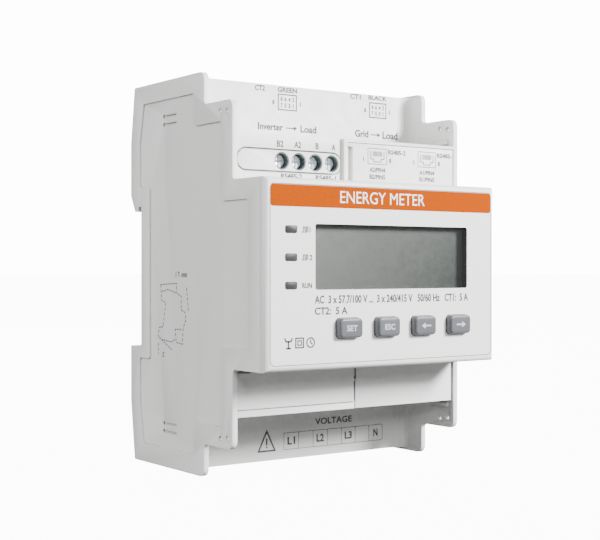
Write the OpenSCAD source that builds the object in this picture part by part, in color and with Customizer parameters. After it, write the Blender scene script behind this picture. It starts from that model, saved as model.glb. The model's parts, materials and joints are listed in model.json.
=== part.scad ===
// Three-phase electricity meter for a 35 mm top-hat rail.
// Frame: origin at the middle of the face that seats on the rail, +X right, -Y out of the front, +Z up.

/* [Body] */
// Overall width across the side walls
width = 72; // [70:1:90]
// Overall height of the side walls
height = 100; // [96:1:124]
// Depth from the back of the rail hooks to the front face
depth = 65.5; // [64:0.5:80]
// Height of the front block
block_height = 45.2; // [44:0.1:50]
// Distance from the rail plane to the front of the first step
step1_depth = 32.8; // [31:0.1:36]
// Distance from the rail plane to the front of the second step
step2_depth = 45.9; // [45:0.1:48]
// Drop from the top of the side wall to the shoulder between the steps
shoulder_drop = 8.2; // [6:0.1:10]
// Thickness of each side wall
side_wall = 1.4; // [1.2:0.1:1.8]
// Thickness of roof, floor, shelves and covers
skin = 1.5; // [1.2:0.1:1.8]
// Width of the plain border round the sunken side panel
panel_border = 4.9; // [3:0.1:6]
// Depth of the sunken side panel
panel_sink = 0.45; // [0.1:0.05:0.5]

/* [Wiring recesses] */
// Distance from the rail plane to the upper recess
upper_recess = 27.5; // [27:0.1:30]
// Distance from the rail plane to the lower recess
lower_recess = 24; // [23.5:0.1:28]
// Radius where the upper recess turns into the side walls
upper_cove = 4; // [2:0.1:5]
// Radius where the lower recess turns into the side walls
lower_cove = 3.3; // [2:0.1:5]
// Drop from the top of the side wall to the wiring shelf
shelf_drop = 15.7; // [14:0.1:17]
// Drop from the top of the side wall to the roof
roof_drop = 0.7; // [0.4:0.1:1.5]

/* [Rail] */
// Height of the mounting rail
rail_height = 35; // [35:0.1:35]
// Thickness of the rail's flange
rail_thickness = 1; // [1:0.1:1.5]
// How far the hooks stand behind the rail plane
hook_stand = 5.5; // [5:0.1:6]
// How far each hook reaches over the rail's flange
hook_bite = 1.2; // [0.9:0.1:1.6]
// Width of the sliding clip
clip_width = 20; // [16:1:26]
// Travel of the sliding clip
clip_travel = 4; // [3:0.1:5]

/* [Front face] */
// Thickness of the front bezel
bezel_thickness = 2.4; // [2.2:0.1:3]
// Radius of the bezel's outer edges
bezel_round = 1.4; // [0.8:0.1:2]
// Thickness of the printed label
label_thickness = 0.25; // [0.2:0.05:0.4]
// Width of the display window
window_w = 48.3; // [40:0.1:50]
// Height of the display window
window_h = 15.5; // [12:0.1:18]
// Sideways place of the display window
window_x = 2.25; // [0:0.05:3]
// Height of the display window's centre
window_z = 4.15; // [3:0.05:5]
// Depth of the display glass below the front face
window_depth = 2.4; // [2.4:0.1:3.4]
// Width of an indicator lens
lens_w = 3.4; // [2.5:0.1:4]
// Height of an indicator lens
lens_h = 1.75; // [1.5:0.05:2.5]

/* [Keys] */
// Width of a key at the front face
key_w = 7.2; // [6:0.1:8]
// Height of a key at the front face
key_h = 4.8; // [4:0.1:6]
// How far a key stands out of the front face
key_stand = 1.8; // [1.2:0.1:2.4]
// Distance between neighbouring keys
key_pitch = 11.7; // [10.6:0.1:12]
// Travel of a key
key_travel = 0.5; // [0.3:0.05:0.7]

/* [Terminals] */
// Distance between the data terminals
data_pitch = 5.08; // [5:0.01:5.5]
// Distance between the voltage terminals
voltage_pitch = 9.7; // [8:0.1:10]
// Size of a voltage terminal, as a multiple of a data terminal
voltage_scale = 1.25; // [1.1:0.05:1.35]
// Distance between the two data sockets
jack_pitch = 17; // [16.4:0.1:17.2]

/* [Hidden] */
arc_steps = 6;
fit = 0.1;              // side clearance between pieces that slip together
running = 0.05;         // radial clearance of a pin in its hole
eps = 0.5;              // how far a cut runs past the face it opens
top_z = height / 2;
roof_z = top_z - roof_drop;
shoulder_z = top_z - shoulder_drop;
shelf_z = top_z - shelf_drop;
block_z = block_height / 2;
half_w = width / 2;
inner_x = half_w - side_wall;
wall_x = half_w - side_wall / 2;   // plates end inside the side walls
front_y = hook_stand - depth;
seam_y = front_y + bezel_thickness;
step1_y = -step1_depth;
step2_y = -step2_depth;
upper_y = -upper_recess;
lower_y = -lower_recess;
back_slope = 2.1;       // the hooks lean in towards the roof by this much
seat_relief = 0.3;      // grooves beside the rail seat lie this much deeper
hook_z = rail_height / 2 - hook_bite + 0.3;
groove_z = rail_height / 2 + 0.4;
lip_y = rail_thickness + 0.25;
catch_z = -rail_height / 2 - 1.7;

// Boards
board = 1.6;
main_y = [-21.6, -21.6 + board];       // main board, front and back faces
main_x = inner_x - 1.6;
main_z = top_z - 9;
display_back = seam_y + 9.2;
display_y = [display_back - board, display_back];
comms_y = [-28.3, -28.3 + board];
boss_x = inner_x - 4.6;
boss_z = 15;
post_x = inner_x - 4.1;
post_z = 17.5;
fix_x = inner_x - 3.1;
fix_z = top_z - 6.2;

// Front
face_y = [front_y, seam_y];
label_x = half_w - bezel_round + 0.1;
label_z = block_z - bezel_round - 0.2;
lens_x = -28.85;
lens_zs = [10.5, 4, -2.55];
key_x0 = -12.3;
key_z = -12.8;
key_xs = [for (i = [0:3]) key_x0 + i * key_pitch];
key_flange = 0.9;
switch_len = 3.6;
collar = 0.7;           // wall of the display frame's collar
frame_margin = 2;

// Upper front
tier_y = step2_y + 0.5;                // front of the upper terminal panel
data_z = 27.75 - 34.3 + shelf_z;
data_x0 = -21.4;
data_xs = [for (i = [0:3]) data_x0 + i * data_pitch];
data_head_y = tier_y + 1.8;
comms_x = [-1.5, inner_x];
comms_cover_y = [step2_y + 0.15, step2_y + 1.65];
ledge = 0.8;
jack_w = 15.9;
jack_d = 13.4;
jack_len = 21.4;
jack_xs = [comms_x[0] + 9.8, comms_x[0] + 9.8 + jack_pitch];
jack_y = [comms_y[0] - fit - jack_d, comms_y[0] - fit];
jack_z = [shelf_z - 0.3 - jack_len, shelf_z - 0.3];

// Lower front
flap_t = 1.2;
flap_y = [step2_y + 0.6, step2_y + 0.6 + flap_t];
flap_top = -block_z - 1.2;
flap_low = -shelf_z + 0.1;
hinge_y = step2_y + 1.9;
hinge_z = flap_top - 1.1;
hinge_r = 1.1;
pin_r = 0.6;
pin_len = 0.9;
rib_gap = 0.15;
rib_pin = 0.3;
seam_x = 1.3;
rib_x = [seam_x - 0.25, seam_x + 0.25];
lower_face = hinge_y + 2.1;            // wall behind the flaps
volt_x0 = -3.75;
volt_xs = [for (i = [0:3]) volt_x0 + i * voltage_pitch];
volt_z = -28.2 + 34.3 - shelf_z;
volt_head_y = lower_face + 0.9;

// Current transformer sockets in the roof
ct_xs = [inner_x - 42.3, inner_x - 12];
ct_w = 12.4;
ct_pitch = 2.54;
ct_d = 9.6;
ct_len = 11;
ct_y = [main_y[1] + fit, main_y[1] + fit + ct_d];
ct_z = [roof_z - 0.2 - ct_len, roof_z - 0.2];

// One clamp pole, drawn at data size with its origin at the front of the screw head
head_r = 1.75;
head_len = 1.6;
shank_r = 1.25;
shank_len = 4.35;
cage_w = 4.2;
cage_h = 4.4;
cage_front = 4.3;
cage_len = 6.5;
cage_wall = 1.6;
cage_foot = 1.1;
bar_y = cage_front + cage_wall + 0.15;
bar_t = 0.8;
bar_w = 2.9;
bar_low = -3.7;
bar_high = 2.9;

// ---- Shapes that repeat ----

function unit(v) = v / norm(v);
function about(middle, half) = [middle - half, middle + half];
function wider(range, by) = [range[0] - by, range[1] + by];

// Points of an arc of radius r that replaces the corner at b
function arc_at(a, b, c, r) =
    let (u = unit(a - b), v = unit(c - b), half = acos(max(-1, min(1, u * v))) / 2)
    let (mid = b + unit(u + v) * r / sin(half))
    let (from = b + u * r / tan(half) - mid, to = b + v * r / tan(half) - mid)
    let (start = atan2(from[1], from[0]), turn = atan2(from[0] * to[1] - from[1] * to[0], from * to))
    [for (i = [0:arc_steps]) let (a = start + turn * i / arc_steps) mid + r * [cos(a), sin(a)]];

// Outline through corners given as [across, up, radius]
function rounded(corners) =
    let (n = len(corners), at = [for (c = corners) [c[0], c[1]]])
    [for (i = [0:n - 1]) each corners[i][2] > 0
        ? arc_at(at[(i + n - 1) % n], at[i], at[(i + 1) % n], corners[i][2])
        : [at[i]]];

module slab(x, y, z)
    translate([x[0], y[0], z[0]]) cube([x[1] - x[0], y[1] - y[0], z[1] - z[0]]);

module rod_x(r, x, y, z)
    translate([x[0], y, z]) rotate([0, 90, 0]) cylinder(r = r, h = x[1] - x[0], $fn = 40);

module rod_y(r, x, y, z)
    translate([x, y[0], z]) rotate([-90, 0, 0]) cylinder(r = r, h = y[1] - y[0], $fn = 40);

module rod_z(r, x, y, z)
    translate([x, y, z[0]]) cylinder(r = r, h = z[1] - z[0], $fn = 40);

// Rounded rectangle, w by h about [x, z], as deep as the range y
module pad_y(x, z, w, h, r, y)
    translate([x, y[1], z]) rotate([90, 0, 0]) linear_extrude(y[1] - y[0])
        polygon(rounded([[-w / 2, -h / 2, r], [w / 2, -h / 2, r], [w / 2, h / 2, r], [-w / 2, h / 2, r]]));

// An outline of [y, z] points carried along X
module side_shape(points, x)
    translate([x[0], 0, 0]) rotate([90, 0, 90]) linear_extrude(x[1] - x[0]) polygon(points);

// ---- Casing ----

function wall_outline() = rounded([
    [hook_stand - back_slope, top_z, 0.6],
    [step1_y, top_z, 2], [step1_y, shoulder_z, 1.2],
    [step2_y, shoulder_z, 2], [step2_y, block_z, 1],
    [seam_y, block_z, 0], [seam_y, -block_z, 0],
    [step2_y, -block_z, 1], [step2_y, -shoulder_z, 2],
    [step1_y, -shoulder_z, 1.2], [step1_y, -top_z, 2],
    [hook_stand - back_slope, -top_z, 0.6],
    [hook_stand, -top_z + 16, 0], [hook_stand, catch_z - 0.2, 0.4],
    [-seat_relief, catch_z, 0.4], [-seat_relief, groove_z, 0],
    [lip_y, groove_z, 0], [lip_y, hook_z, 0],
    [hook_stand - 2.4, hook_z, 0.4], [hook_stand, hook_z + 4.4, 1],
    [hook_stand, top_z - 15, 0]]);

function panel_outline() = let (b = panel_border) rounded([
    [hook_stand - back_slope - b, top_z - b, 0.6],
    [step1_y + b, top_z - b, 0.8], [step1_y + b, shoulder_z - b, 0.8],
    [step2_y + b, shoulder_z - b, 0.8], [step2_y + b, block_z - b, 0.8],
    [seam_y + b, block_z - b, 0.8], [seam_y + b, -block_z + b, 0.8],
    [step2_y + b, -block_z + b, 0.8], [step2_y + b, -shoulder_z + b, 0.8],
    [step1_y + b, -shoulder_z + b, 0.8], [step1_y + b, -top_z + b, 0.8],
    [hook_stand - back_slope - b, -top_z + b, 0.6],
    [hook_stand - b, -top_z + 16, 0], [hook_stand - b, catch_z - 3.2, 0.8],
    [-b, catch_z - 3.2, 0.8], [-b, hook_z + 6.3, 0.8],
    [hook_stand - b, hook_z + 6.3, 0.8], [hook_stand - b, top_z - 15, 0]]);

// A cove of radius r between a recess floor at y and the side wall on side s
module cove(s, y, r, z)
    difference() {
        slab(s > 0 ? [inner_x - r, wall_x] : [-wall_x, -inner_x + r], [y - r, y + 0.5], z);
        rod_z(r, s * (inner_x - r), y - r, [z[0] - eps, z[1] + eps]);
    }

module casing_plates() {
    across = [-wall_x, wall_x];
    plate_back = hook_stand - back_slope - skin - 0.15;
    // upper wiring recess
    slab(across, [upper_y, plate_back], [roof_z - skin, roof_z]);
    slab(across, [upper_y, upper_y + skin], [shelf_z - skin, roof_z]);
    slab(across, [tier_y, upper_y + skin], [shelf_z - skin, shelf_z]);
    // upper terminal panel, beside the data socket cover
    slab([-wall_x, comms_x[0]], [tier_y, tier_y + skin], [block_z - skin, shelf_z]);
    slab([comms_x[0] - 1.2, wall_x], [step2_y, tier_y + 0.5], [shelf_z - ledge, shelf_z]);
    slab([comms_x[0] - 1.2, comms_x[0]], [step2_y, tier_y + 0.5], [block_z - skin, shelf_z]);
    // front block
    slab(across, [seam_y, tier_y + skin], [block_z - skin, block_z]);
    slab(across, [seam_y, lower_face + skin], [-block_z, -block_z + skin]);
    // lower wiring recess
    slab(across, [lower_face, lower_face + skin], [-shelf_z, -block_z + skin]);
    slab(across, [lower_face, lower_y + skin], [-shelf_z, -shelf_z + skin]);
    slab(across, [lower_y, lower_y + skin], [-roof_z, -shelf_z + skin]);
    slab(across, [lower_y, plate_back], [-roof_z, -roof_z + skin]);
    slab([rib_x[0], rib_x[1]], [hinge_y - 0.9, lower_face + skin / 2], [hinge_z - 1.3, -block_z + skin / 2]);
    for (s = [-1, 1]) {
        cove(s, upper_y, upper_cove, [shelf_z - skin / 2, roof_z]);
        cove(s, lower_y, lower_cove, [-roof_z, -shelf_z + skin / 2]);
        // ribs that stiffen the side walls beside the shelves
        for (z = [shelf_z + 0.8, -shelf_z - 1.8])
            slab(s > 0 ? [inner_x - 0.6, wall_x] : [-wall_x, -inner_x + 0.6], [step2_y + 2, -37], [z, z + 1]);
        // bosses for the screws that hold the back cover
        rod_y(2.5, s * fix_x, [upper_y + skin / 2, 1], fix_z);
        rod_y(2.5, s * fix_x, [lower_y + skin / 2, 1], -fix_z);
    }
}

// From the outer face of the side wall on side s to a depth inside it
function outer(s, depth) = s > 0 ? [half_w - depth, half_w + eps] : [-half_w - eps, -half_w + depth];

module casing_cuts() {
    shelf_cut = wider([shelf_z - skin, shelf_z], eps);
    for (s = [-1, 1]) {
        // sunken side panel, seal holes, finger slots and flap pivots
        side_shape(panel_outline(), outer(s, panel_sink));
        through = outer(s, side_wall + eps);
        for (v = [-1, 1]) {
            rod_x(0.65, through, step2_y + 5.6, v * (shoulder_z - 2.2));
            rod_x(0.65, through, step2_y + 2.5, v * (shoulder_z - 2.6));
            for (z = [9.2, 11.3]) {
                groove = outer(s, 0.9);
                slab(groove, [-18.5, -12], about(v * (top_z - z), 0.3));
                rod_x(0.55, groove, -12, v * (top_z - z));
            }
            rod_y(1.25, s * fix_x, [-14, 1 + eps], v * fix_z);
        }
        rod_x(pin_r + running, about(s * inner_x, pin_len + 0.1), hinge_y, hinge_z);
    }
    rod_x(pin_r + running, wider(rib_x, eps), hinge_y, hinge_z);
    // notch in the floor for the clip's channel, and seat for the data socket cover
    slab(about(0, channel_x + fit), [channel_y[0] - fit, hook_stand], wider([-roof_z, -roof_z + skin], eps));
    slab([comms_x[0], inner_x], [step2_y - eps, comms_cover_y[1] + fit], [block_z + 0.01, shelf_z - ledge]);
    // shadow gap beside the data socket cover
    slab([comms_x[0] - 2.2, comms_x[0] - 1.1], [tier_y - eps, tier_y + 0.9], [block_z + 0.2, shelf_z + eps]);
    // raised outline round the data terminal screws
    difference() {
        pad_y(-18.9, data_z, 31.8, 5.8, 2.89, [tier_y - eps, tier_y + 0.6]);
        pad_y(-18.9, data_z, 30.9, 4.9, 2.44, [tier_y - 2 * eps, tier_y + 2]);
    }
    for (x = data_xs) {
        rod_y(2.2, x, [tier_y - eps, tier_y + skin + eps], data_z);
        slab(about(x, 1.7), [data_head_y + 6.8, data_head_y + 9.8], shelf_cut);
    }
    for (x = jack_xs)
        slab(about(x, jack_w / 2 + fit), wider(jack_y, fit), shelf_cut);
    for (x = volt_xs) {
        rod_y(2.6, x, [lower_face - eps, lower_face + skin + eps], volt_z);
        slab(about(x, 2.4), about(volt_head_y + voltage_scale * 8.3, voltage_scale * 1.6),
            wider([-shelf_z, -shelf_z + skin], eps));
    }
    for (x = ct_xs)
        slab(about(x, ct_w / 2 + fit), wider(ct_y, fit), wider([roof_z - skin, roof_z], eps));
}

module main_housing() color("gainsboro") difference() {
    union() {
        side_shape(wall_outline(), [-half_w, -inner_x]);
        side_shape(wall_outline(), [inner_x, half_w]);
        casing_plates();
    }
    casing_cuts();
}

// ---- Back cover and rail clip ----

clip_y = [lip_y, 4.65];
wing = 2.2;
slot_x = clip_width / 2 + 0.15;         // half width of the mouth that the clip slides in
guide_x = slot_x + wing;
channel_x = guide_x + 1.35;
channel_y = [-skin - seat_relief, lip_y - 0.15];
pocket_w = 6.4;
spring_low = -40;
spring_high = -27;
stop_z = [spring_low - 1.5, spring_low];
clip_low = -top_z + 1.2;

function back_outline() = [
    [hook_stand - back_slope, roof_z], [hook_stand, top_z - 15], [hook_stand, hook_z + 4.4],
    [hook_stand - 2.4, hook_z], [lip_y, hook_z], [lip_y, groove_z], [-seat_relief, groove_z],
    [-seat_relief, hook_z - 0.7], [0, hook_z - 0.7], [0, catch_z + 3.6], [-seat_relief, catch_z + 3.6],
    [-seat_relief, catch_z], [hook_stand, catch_z - 0.2], [hook_stand, -top_z + 16],
    [hook_stand - back_slope, -roof_z], [hook_stand - back_slope - skin, -roof_z],
    [hook_stand - skin, -top_z + 16], [hook_stand - skin, catch_z - 1.7],
    [-skin - seat_relief, catch_z - 1.7], [-skin - seat_relief, groove_z + skin],
    [2.4, groove_z + skin], [hook_stand - skin, hook_z + 5.4],
    [hook_stand - skin, top_z - 15], [hook_stand - back_slope - skin, roof_z]];

module back_cover() color("lightgray") {
    half = inner_x - fit;
    difference() {
        union() {
            side_shape(back_outline(), [-half, half]);
            // channel for the clip: floor, sides and the spring's fixed stop
            slab(about(0, channel_x), channel_y, [-roof_z, catch_z - 0.1]);
            for (s = [-1, 1]) {
                slab(s > 0 ? [slot_x, channel_x] : [-channel_x, -slot_x],
                    [-seat_relief, hook_stand - back_slope], [-roof_z, catch_z - 0.1]);
                for (v = [-1, 1]) {
                    rod_y(3, s * fix_x, [1.1, hook_stand - back_slope], v * fix_z);
                    rod_y(2.6, s * boss_x, [main_y[1] + fit / 2, -seat_relief - skin / 2], v * boss_z);
                }
            }
        }
        // mouth of the channel, narrower at the back so that the clip's wings stay in
        slab([-guide_x, guide_x], [lip_y - 0.15, clip_y[0] + 1.55], [-top_z, catch_z + eps]);
        slab([-slot_x, slot_x], [clip_y[0], hook_stand + eps], [-top_z, catch_z + eps]);
        for (s = [-1, 1], v = [-1, 1]) {
            rod_y(1.6, s * fix_x, [0, hook_stand], v * fix_z);
            rod_y(2.8, s * fix_x, [2.2, hook_stand + 1], v * fix_z);
            rod_y(1, s * boss_x, [main_y[1], main_y[1] + 9], v * boss_z);
        }
    }
    slab([-2.6, 2.6], [lip_y - 0.4, clip_y[1] - 0.6], stop_z);
}

module rail_clip() color("dimgray") difference() {
    half = clip_width / 2;
    nose_z = -rail_height / 2 + hook_bite;
    union() {
        side_shape([[clip_y[0], nose_z], [clip_y[0] + 0.8, nose_z], [clip_y[1], nose_z - 3],
            [clip_y[1], clip_low], [clip_y[0], clip_low]], [-half, half]);
        slab([-half - wing, half + wing], [clip_y[0], clip_y[0] + 1.4], [clip_low + 3, catch_z - 1.5]);
    }
    // pocket for the spring, screwdriver slot and grip grooves
    slab([-pocket_w / 2, pocket_w / 2], [clip_y[0] - eps, clip_y[1] + eps], [stop_z[0] - 0.2, spring_high]);
    slab([-3.5, 3.5], [clip_y[0] + 1.1, clip_y[0] + 2.3], [clip_low - eps, clip_low + 4]);
    for (i = [0:2])
        slab([-half + 2, half - 2], [clip_y[1] - 0.5, clip_y[1] + eps], about(nose_z - 6 - 1.6 * i, 0.4));
}

// Closed coil spring, swept along a helix
coil_r = 1.2;
wire_r = 0.22;
coil_turns = 7;
coil_steps = 14;
wire_sides = 8;
coil_z = wider([spring_low, spring_high], -wire_r - 0.05);
function coil_point(t, k) =
    let (a = 360 * t, b = 360 * k / wire_sides, r = coil_r + wire_r * cos(b))
    [r * cos(a), (clip_y[0] + clip_y[1]) / 2 + r * sin(a),
        coil_z[0] + t / coil_turns * (coil_z[1] - coil_z[0]) + wire_r * sin(b)];
module clip_spring() color("silver") {
    n = coil_turns * coil_steps;
    points = [for (i = [0:n], k = [0:wire_sides - 1]) coil_point(i / coil_steps, k)];
    sides = [for (i = [0:n - 1], k = [0:wire_sides - 1])
        let (a = i * wire_sides + k, b = i * wire_sides + (k + 1) % wire_sides)
        [a, b, b + wire_sides, a + wire_sides]];
    ends = [[for (k = [0:wire_sides - 1]) wire_sides - 1 - k],
        [for (k = [0:wire_sides - 1]) n * wire_sides + k]];
    polyhedron(points, concat(sides, ends), convexity = 10);
}

// ---- Front face ----

// A plate with rounded outer edges, from the seam to the front face
module edge_plate() intersection() {
    translate([0, 0, -block_z]) linear_extrude(2 * block_z) polygon(rounded([
        [-half_w, seam_y, 0], [-half_w, front_y, bezel_round],
        [half_w, front_y, bezel_round], [half_w, seam_y, 0]]));
    side_shape(rounded([[seam_y, -block_z, 0], [front_y, -block_z, bezel_round],
        [front_y, block_z, bezel_round], [seam_y, block_z, 0]]), [-half_w, half_w]);
}

module front_bezel() color("whitesmoke") difference() {
    lip_x = inner_x - fit;
    lip_z = block_z - skin - fit;
    union() {
        edge_plate();
        difference() {
            slab([-lip_x, lip_x], [seam_y - 0.1, seam_y + 3], [-lip_z, lip_z]);
            slab([-lip_x + 1.2, lip_x - 1.2], [seam_y, seam_y + 4], [-lip_z + 1.2, lip_z - 1.2]);
        }
        for (s = [-1, 1], v = [-1, 1])
            rod_y(2.2, s * post_x, [seam_y - 0.1, display_y[0] - running], v * post_z);
    }
    pad_y(0, 0, 2 * label_x, 2 * label_z, 0.6, [front_y - eps, front_y + label_thickness]);
    pad_y(window_x, window_z, window_w + 2 * collar, window_h + 2 * collar, 1.2, wider(face_y, eps));
    for (z = lens_zs)
        pad_y(lens_x, z, lens_w + fit, lens_h + fit, 0.5, [front_y - eps, seam_y + eps]);
    for (x = key_xs)
        pad_y(x, key_z, key_w + 2 * fit, key_h + 2 * fit, 1, [front_y - eps, seam_y + eps]);
    for (s = [-1, 1], v = [-1, 1])
        rod_y(0.95, s * post_x, [seam_y + 1, display_y[0] + eps], v * post_z);
}

module front_label() color("white") difference() {
    pad_y(0, 0, 2 * label_x - fit, 2 * label_z - fit, 0.55, [front_y, front_y + label_thickness]);
    pad_y(window_x, window_z, window_w, window_h, 0.6, [front_y - eps, front_y + 1]);
    for (z = lens_zs)
        pad_y(lens_x, z, lens_w + fit, lens_h + fit, 0.5, [front_y - eps, front_y + 1]);
    for (x = key_xs)
        pad_y(x, key_z, key_w + 2 * fit, key_h + 2 * fit, 1, [front_y - eps, front_y + 1]);
}

// ---- Display ----

glass_y = front_y + window_depth;
pane_y = [front_y + label_thickness + 0.05, front_y + label_thickness + 0.85];

module lcd_window() color("lightcyan", 0.4)
    pad_y(window_x, window_z, window_w - fit, window_h - fit, 0.5, pane_y);

module lcd_frame() color("black") difference() {
    inner_margin = 2 * (frame_margin - 1);
    union() {
        pad_y(window_x, window_z, window_w + 2 * collar - fit, window_h + 2 * collar - fit, 1.1,
            [front_y + label_thickness + 0.05, seam_y + 0.3]);
        pad_y(window_x, window_z, window_w + 2 * frame_margin, window_h + 2 * frame_margin, 1,
            wider([seam_y, display_y[0]], -0.05));
    }
    pad_y(window_x, window_z, window_w, window_h, 0.55, [front_y - 1, glass_y + eps]);
    slab(about(window_x, (window_w + inner_margin) / 2), [glass_y - 0.05, display_y[0] + 1],
        about(window_z, (window_h + inner_margin) / 2));
}

module lcd_glass() color("darkseagreen")
    slab(about(window_x, window_w / 2 + 0.9), [glass_y, glass_y + 2.2], about(window_z, window_h / 2 + 0.9));

module lcd_backlight() color("ivory")
    slab(about(window_x, window_w / 2 + 0.7), [glass_y + 2.25, display_y[0] - 0.1],
        about(window_z, window_h / 2 + 0.7));

module indicator_lenses() color("dimgray") for (z = lens_zs)
    union() {
        pad_y(lens_x, z, lens_w, lens_h, 0.45, [front_y + 0.15, seam_y + 0.3]);
        slab(about(lens_x, 1.2), [seam_y, display_y[0] - 1.1], about(z, 0.8));
    }

module indicator_leds() color("ivory") for (z = lens_zs)
    slab(about(lens_x, 1), [display_y[0] - 0.9, display_y[0]], about(z, 0.6));

// ---- Keys and switches ----

stem_y = display_y[0] - switch_len - 1.5;   // where a key's stem meets its switch's plunger

module key(i) color("slategray") {
    base = front_y + 0.05;
    tip = front_y - key_stand;
    x = key_xs[i];
    intersection() {
        pad_y(x, key_z, key_w, key_h, 0.9, [tip - 1, seam_y + 0.1]);
        translate([x, 0, key_z - key_h]) linear_extrude(2 * key_h) polygon(rounded([
            [-key_w / 2, seam_y + 0.1, 0], [-key_w / 2, base, 0], [-key_w / 2 + 0.5, tip, 0.3],
            [key_w / 2 - 0.5, tip, 0.3], [key_w / 2, base, 0], [key_w / 2, seam_y + 0.1, 0]]));
        side_shape(rounded([[seam_y + 0.1, key_z - key_h / 2, 0], [base, key_z - key_h / 2, 0],
            [tip, key_z - key_h / 2 + 0.3, 0.3], [tip, key_z + key_h / 2 - 0.3, 0.3],
            [base, key_z + key_h / 2, 0], [seam_y + 0.1, key_z + key_h / 2, 0]]), about(x, key_w));
    }
    pad_y(x, key_z, key_w + 1.6, key_h + 1.6, 1.2, [seam_y + 0.05, seam_y + key_flange]);
    rod_y(1.7, x, [seam_y + 0.2, stem_y], key_z);
}

module plunger(i) color("black")
    rod_y(1.5, key_xs[i], [stem_y + 0.02, stem_y + 3.4], key_z);

module key_switches() color("silver") for (x = key_xs)
    difference() {
        slab(about(x, 3), [display_y[0] - switch_len, display_y[0] - 0.02], about(key_z, 3));
        rod_y(1.5 + running, x, [display_y[0] - switch_len - eps, display_y[0] - 1], key_z);
    }

// ---- Boards ----

module display_board() color("darkgreen") difference() {
    slab(about(0, inner_x - 1.6), display_y, about(0, block_z - skin - 1.6));
    for (s = [-1, 1], v = [-1, 1])
        rod_y(1.2, s * post_x, display_y + [-eps, eps], v * post_z);
}

module main_board() color("darkgreen") difference() {
    slab(about(0, main_x), main_y, about(0, main_z));
    for (s = [-1, 1], v = [-1, 1])
        rod_y(1.3, s * boss_x, main_y + [-eps, eps], v * boss_z);
}

module comms_board() color("darkgreen")
    slab([comms_x[0] + 1, inner_x - 0.4], comms_y, [jack_z[0] - 5, shelf_z - skin - 0.2]);

module header(x, z, n, y) {
    slab(about(x, n * 1.27 + 0.6), [y[1] - 2.6, y[1] - 0.02], about(z, 1.25));
    for (i = [0:n - 1])
        slab(about(x + (i - (n - 1) / 2) * 2.54, 0.32), [y[0] + 0.02, y[1] - 2.5], about(z, 0.32));
}
module board_headers() color("black") {
    header(-14, -4, 10, [display_y[1], main_y[0]]);
    header(18, jack_z[0] - 2.5, 8, [comms_y[1], main_y[0]]);
}

module board_screw(x, z, head, tip) {
    rod_y(1.9, x, head < tip ? [head, head + 1.3] : [head - 1.3, head], z);
    rod_y(0.9, x, head < tip ? [head + 1.2, tip] : [tip, head - 1.2], z);
}
module board_screws() color("silver") for (s = [-1, 1], v = [-1, 1]) {
    board_screw(s * boss_x, v * boss_z, main_y[0] - 1.32, main_y[1] + 7);
    board_screw(s * post_x, v * post_z, display_y[1] + 1.32, seam_y + 2);
}

module housing_screws() color("silver") for (s = [-1, 1], v = [-1, 1])
    difference() {
        union() {
            rod_y(2.6, s * fix_x, [2.22, 3.9], v * fix_z);
            rod_y(1.2, s * fix_x, [-12, 2.3], v * fix_z);
        }
        slab(about(s * fix_x, 1.5), [3.1, 4.5], about(v * fix_z, 0.3));
        slab(about(s * fix_x, 0.3), [3.1, 4.5], about(v * fix_z, 1.5));
    }

// ---- Clamp terminals ----

module place_data(i) translate([data_xs[i], data_head_y, data_z]) children();
module place_volt(i)
    translate([volt_xs[i], volt_head_y, volt_z]) mirror([0, 0, 1]) scale(voltage_scale) children();

module clamp_screw() color("silver") difference() {
    union() {
        rod_y(head_r, 0, [0, head_len], 0);
        rod_y(shank_r, 0, [head_len - 0.1, head_len + shank_len], 0);
    }
    slab([-1.3, 1.3], [-eps, 0.8], [-0.25, 0.25]);
    slab([-0.25, 0.25], [-eps, 0.8], [-1.3, 1.3]);
}

module clamp_cage() color("goldenrod") difference() {
    slab(about(0, cage_w / 2), [cage_front, cage_front + cage_len], about(0, cage_h / 2));
    slab(about(0, bar_w / 2 + 0.15), [cage_front + cage_wall, cage_front + cage_len - cage_foot],
        about(0, cage_h));
    rod_y(shank_r + running, 0, [cage_front - eps, cage_front + cage_wall + eps], 0);
}

// Flat bar that the wire is clamped to, with a leg back to the board at y = leg
module busbar(leg) color("goldenrod") union() {
    slab(about(0, bar_w / 2), [bar_y, bar_y + bar_t], [bar_low, bar_high]);
    slab([-0.6, 0.6], [bar_y, leg], [bar_low, bar_low + 0.8]);
}

// Space that one pole needs in its block: screw channel, cage chamber, wire way and busbar slot
module pole_space(leg) {
    rod_y(head_r + 0.1, 0, [-4, head_len + 0.05], 0);
    slab(about(0, cage_w / 2 + 0.1), [head_len, cage_front + cage_len + 0.2], about(0, cage_h / 2 + 0.1));
    slab([-1.5, 1.5], [bar_y + bar_t, bar_y + bar_t + 2.85], [0, 12]);
    slab(about(0, bar_w / 2 + 0.05), wider([bar_y, bar_y + bar_t], 0.05), wider([bar_low, bar_high], 0.05));
    slab([-0.65, 0.65], [bar_y, leg + 1], [bar_low - 0.05, bar_low + 0.85]);
}

data_leg = main_y[0] - 0.02 - data_head_y;
volt_leg = (main_y[0] - 0.02 - volt_head_y) / voltage_scale;

module data_terminal_block() color("darkslategray") difference() {
    union() {
        slab(wider([data_xs[0], data_xs[3]], 3.1), [tier_y + skin + 0.1, main_y[0] - 0.05],
            [data_z - 4.8, shelf_z - skin - 0.1]);
        for (x = data_xs)
            rod_y(2.15, x, [tier_y + 0.15, tier_y + skin + 0.3], data_z);
    }
    for (i = [0:3]) place_data(i) pole_space(data_leg);
}

module voltage_terminal_block() color("darkslategray") difference() {
    slab(wider([volt_xs[0], volt_xs[3]], 4.6), [lower_face + skin + 0.1, main_y[0] - 0.05],
        [-shelf_z + skin + 0.1, volt_z + 5.6]);
    for (i = [0:3]) place_volt(i) pole_space(volt_leg);
}

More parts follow.
